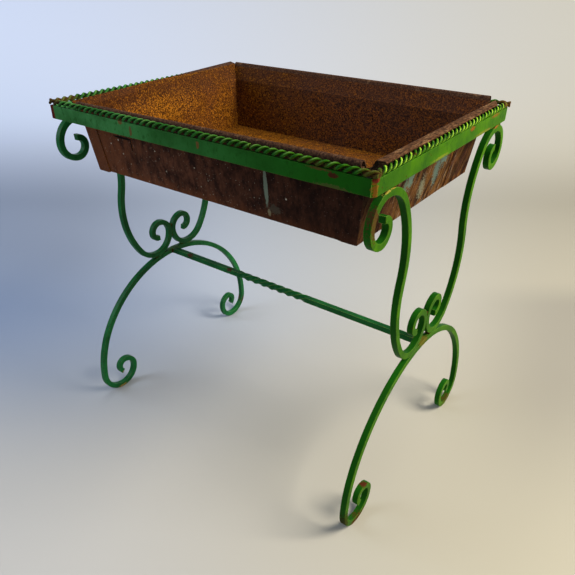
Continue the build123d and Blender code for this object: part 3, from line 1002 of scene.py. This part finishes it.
@dataclass
class Pan:
    """The loose sheet pan, which lies a little to the right of the stand's middle."""

    effects: Effects
    middle_x: float = 0.004
    hem_height: float = 0.012
    hem_slack: float = 0.001
    collar_height: float = 0.031
    flange_width: float = 0.0155
    front_wall_y: float = -0.22
    right_wall_x: float = 0.31
    blot_depth: float = 0.03

    def front_marks(self) -> tuple[Blot, ...]:
        """The slit, the pale run and the flecks on the front wall.

        Returns:
            The marks.
        """
        front, deep = self.front_wall_y, self.blot_depth
        pale, grey, black = srgb(196, 186, 168), srgb(180, 168, 148), srgb(6, 4, 3)
        flecks = (
            (-0.237, 0.645, 0.0016, pale),
            (-0.213, 0.656, 0.0018, pale),
            (-0.207, 0.630, 0.0016, grey),
            (-0.115, 0.652, 0.0014, pale),
            (-0.094, 0.618, 0.0014, grey),
            (-0.020, 0.640, 0.0014, grey),
            (0.175, 0.628, 0.0016, pale),
        )
        return (
            Blot((-0.199, front, 0.662), (0.028, deep, 0.0024), black, 0.03, 1.0),
            Blot((-0.177, front, 0.652), (0.0024, deep, 0.014), black, 0.03, 1.0),
            Blot((0.136, front, 0.640), (0.0042, deep, 0.036), srgb(116, 128, 112), 0.3, 0.9),
            Blot((0.139, front, 0.596), (0.0035, deep, 0.007), srgb(150, 140, 110), 0.5, 0.6),
            Blot((0.150, front, 0.604), (0.012, deep, 0.008), srgb(80, 78, 66), 1.2, 0.5),
            *(Blot((x, front, z), (size, deep, size), tone, 0.2, 0.85) for x, z, size, tone in flecks),
        )

    def end_marks(self) -> tuple[Blot, ...]:
        """The remnants of blue-green paint and a patch of ochre rust on the right-hand wall.

        Returns:
            The marks.
        """
        right, deep = self.right_wall_x, self.blot_depth
        blue = srgb(100, 124, 114)
        return (
            Blot((right, -0.060, 0.650), (deep, 0.012, 0.022), blue, 1.0, 0.9),
            Blot((right, -0.076, 0.630), (deep, 0.007, 0.024), srgb(96, 116, 102), 1.2, 0.8),
            Blot((right, 0.070, 0.655), (deep, 0.024, 0.020), blue, 1.2, 0.9),
            Blot((right, 0.048, 0.632), (deep, 0.013, 0.028), srgb(92, 112, 104), 1.3, 0.85),
            Blot((right, 0.100, 0.668), (deep, 0.014, 0.010), blue, 1.2, 0.8),
            Blot((right, -0.004, 0.612), (deep, 0.012, 0.02), srgb(132, 134, 112), 1.6, 0.6),
            Blot((right, 0.125, 0.650), (deep, 0.020, 0.022), srgb(128, 82, 40), 1.0, 0.8),
        )

    def dress(self) -> None:
        """Give every node of the pan its finish."""
        low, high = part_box("pan_trough")
        trough = RustySheet(
            "rusty_sheet_trough",
            waist_z=high.z - self.hem_height / 2 - self.collar_height,
            floor_z=low.z,
            hem_y=high.y - self.hem_height - self.hem_slack,
            hem_x=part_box("pan_end_right")[1].x - self.flange_width - self.middle_x,
            middle_x=self.middle_x,
            blots=self.front_marks(),
        )
        left = replace(
            trough, name="rusty_sheet_left", outer=srgb(98, 66, 50), hem_grain=(1.0, 0.3, 1.0), blots=()
        )
        right = replace(
            left,
            name="rusty_sheet_right",
            outer=srgb(98, 64, 38),
            outer_dark=srgb(42, 26, 16),
            outer_red=srgb(112, 70, 38),
            hem=srgb(104, 70, 46),
            hem_dark=srgb(54, 34, 22),
            hem_wear_and_highlight=srgb(150, 114, 80),
            blots=self.end_marks(),
        )
        for node, finish in (("pan_trough", trough), ("pan_end_left", left), ("pan_end_right", right)):
            dress_nodes(finish.make(self.effects), node)


@dataclass(frozen=True)
class Lamp:
    """A square soft lamp: its name, place, width, power in watts and colour."""

    name: str
    place: Point
    width: float
    power: float
    colour: Colour


@dataclass
class Studio:
    """The camera, the lamps, the floor and the world."""

    eye: Vector
    yaw: float
    pitch: float
    roll: float
    lens: float
    shift: tuple[float, float]
    sight: float = 60.0
    floor_front: float = -8.0
    floor_back: float = 14.0
    floor_side: float = 20.0
    cove: float = 4.0
    cove_rows: int = 24
    wall_top: float = 12.0
    floor_cool: Colour = (0.56, 0.55, 0.56)
    floor_blue_light: Colour = (0.45, 0.54, 0.76)
    floor_warm_light: Colour = (0.53, 0.49, 0.40)
    floor_painted_shade: Colour = (0.10, 0.10, 0.13)
    glow: float = 0.9
    glow_cool: Colour = (0.64, 0.72, 0.90)
    glow_warm: Colour = (0.66, 0.62, 0.52)
    air: Colour = (0.72, 0.84, 1.0)
    air_strength: float = 0.15
    aim: Point = (0.0, 0.0, 0.45)
    lamps: tuple[Lamp, ...] = (
        Lamp("window", (2.3, 0.8, 2.4), 1.5, 136.0, (1.0, 0.93, 0.76)),
        Lamp("sky", (-2.3, -1.7, 1.7), 1.6, 34.0, (0.74, 0.88, 1.0)),
        Lamp("ceiling", (-0.6, 0.3, 3.4), 2.6, 32.0, (0.96, 0.98, 1.0)),
    )

    @property
    def ahead(self) -> Vector:
        """The level direction in which the camera looks."""
        return Vector((-math.sin(self.yaw), math.cos(self.yaw), 0.0))

    @property
    def across(self) -> Vector:
        """The level direction to its right."""
        return Vector((math.cos(self.yaw), math.sin(self.yaw), 0.0))

    def add_camera(self) -> None:
        """Place the camera."""
        gaze = self.ahead * math.cos(self.pitch) - Vector((0.0, 0.0, math.sin(self.pitch)))
        over = self.across.cross(gaze)
        cos, sin = math.cos(self.roll), math.sin(self.roll)
        right, up = self.across * cos + over * sin, over * cos - self.across * sin
        data = bpy.data.cameras.new("camera")
        data.lens = self.lens
        data.shift_x, data.shift_y = self.shift
        data.clip_end = self.sight
        camera = bpy.data.objects.new("camera", data)
        camera.matrix_world = Matrix.Translation(self.eye) @ Matrix((right, up, -gaze)).transposed().to_4x4()
        bpy.context.scene.collection.objects.link(camera)
        bpy.context.scene.camera = camera

    def add_lamp(self, lamp: Lamp) -> None:
        """Place a lamp that points at the stand.

        Args:
            lamp: The lamp.
        """
        data = bpy.data.lights.new(lamp.name, "AREA")
        data.size, data.energy, data.color = lamp.width, lamp.power, lamp.colour
        light = bpy.data.objects.new(lamp.name, data)
        light.location = lamp.place
        light.rotation_euler = (Vector(self.aim) - Vector(lamp.place)).to_track_quat("-Z", "Y").to_euler()
        bpy.context.scene.collection.objects.link(light)

    def add_floor(self) -> None:
        """A large pale floor that curves up far behind the stand."""
        profile = [(self.floor_front, 0.0), (self.floor_back, 0.0)]
        for row in range(1, self.cove_rows + 1):
            turn = row / self.cove_rows * math.pi / 2
            profile.append((self.floor_back + self.cove * math.sin(turn), self.cove * (1 - math.cos(turn))))
        profile.append((self.floor_back + self.cove, self.wall_top))
        form = bmesh.new()
        lines = []
        for run, rise in profile:
            sides = (self.across * side for side in (-self.floor_side, self.floor_side))
            lines.append([form.verts.new(self.ahead * run + side + Vector((0, 0, rise))) for side in sides])
        for near, far in zip(lines, lines[1:]):
            form.faces.new((near[0], near[1], far[1], far[0]))
        mesh = bpy.data.meshes.new("floor")
        form.to_mesh(mesh)
        form.free()
        floor = bpy.data.objects.new("floor", mesh)
        bpy.context.scene.collection.objects.link(floor)
        assign(floor, self.floor_finish())

    def floor_colour(self, on: Surface, run: Socket, fan: Socket, rightward: Socket) -> Socket:
        """Pale paper with painted light: bluer farther off, warmer towards the right, and with painted shade
        on both sides of the stand.

        Args:
            on: The floor's surface.
            run: How far a point is ahead of the stand.
            fan: How far it is to the side, less so with distance.
            rightward: The same as a smooth step.

        Returns:
            The colour.
        """
        # Painted light: a cool tint that grows with distance, and a warm one towards the right.
        left = on.mix(on.step(run, -0.35, 0.5), self.floor_cool, self.floor_blue_light)
        colour = on.mix(rightward, left, self.floor_warm_light)
        # Painted shade on both sides of the stand.
        near = on.less(on.step(run, -0.6, 0.1), on.times(on.step(run, 0.42, 0.62), 0.6))
        right_band = on.times(near, on.step(run, 2.3, 1.3))
        colour = on.lay(colour, self.floor_painted_shade, on.times(right_band, on.step(fan, 0.45, 1.0)), 0.4)
        left_band = on.times(on.step(run, 0.0, 0.9), on.step(run, 3.0, 1.7))
        return on.lay(colour, self.floor_painted_shade, on.times(left_band, on.step(fan, -0.1, -0.75)), 0.42)

    def floor_finish(self) -> bpy.types.Material:
        """Pale paper that glows far behind the stand, as painted light.

        Returns:
            The material.
        """
        on = Surface("pale_floor")
        run, side = on.dot(on.point, tuple(self.ahead)), on.dot(on.point, tuple(self.across))
        fan = on.calc("DIVIDE", side, on.most(on.plus(0.72, run, 0.5), 0.3))
        rightward = on.step(fan, -1.1, 1.1)
        # Painted light: the floor glows for camera and glossy rays, more with distance, cooler at the left
        # and warmer at the right.
        beyond = on.step(on.calc("DIVIDE", 1.0, on.most(run, 0.5)), 0.8, 0.1)
        rays = on.put("ShaderNodeLightPath").outputs
        seen = on.most(rays["Is Camera Ray"], rays["Is Glossy Ray"])
        glow = on.times(on.times(beyond, self.glow), seen)
        far = on.mix(rightward, self.glow_cool, self.glow_warm)
        on.shade(
            {
                "Base Color": self.floor_colour(on, run, fan, rightward),
                "Emission Color": on.mix(glow, BLACK, far),
                "Emission Strength": 1.0,
                "Roughness": 0.9,
                "Specular IOR Level": 0.2,
            }
        )
        return on.material

    def add_world(self) -> None:
        """A plain pale world."""
        world = bpy.data.worlds.new("studio")
        world.use_nodes = True
        colour, strength = world.node_tree.nodes["Background"].inputs[:2]
        colour.default_value = (*self.air, 1.0)
        strength.default_value = self.air_strength
        bpy.context.scene.world = world

    def build(self) -> None:
        """Set the whole studio."""
        self.add_camera()
        self.add_floor()
        self.add_world()
        for lamp in self.lamps:
            self.add_lamp(lamp)
        bpy.context.scene.view_settings.view_transform = "Standard"


def main() -> None:
    """Build the studio and dress every piece."""
    logging.basicConfig(level=logging.INFO)
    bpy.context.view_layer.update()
    effects = Effects()
    studio = Studio(
        eye=Vector((0.6806, -0.9125, 0.9595)),
        yaw=0.6298,
        pitch=0.5416,
        roll=0.0077,
        lens=36.23,
        shift=(0.0033, 0.0223),
    )
    studio.build()
    Stand(effects).dress()
    Pan(effects).dress()


if __name__ == "__main__":
    main()
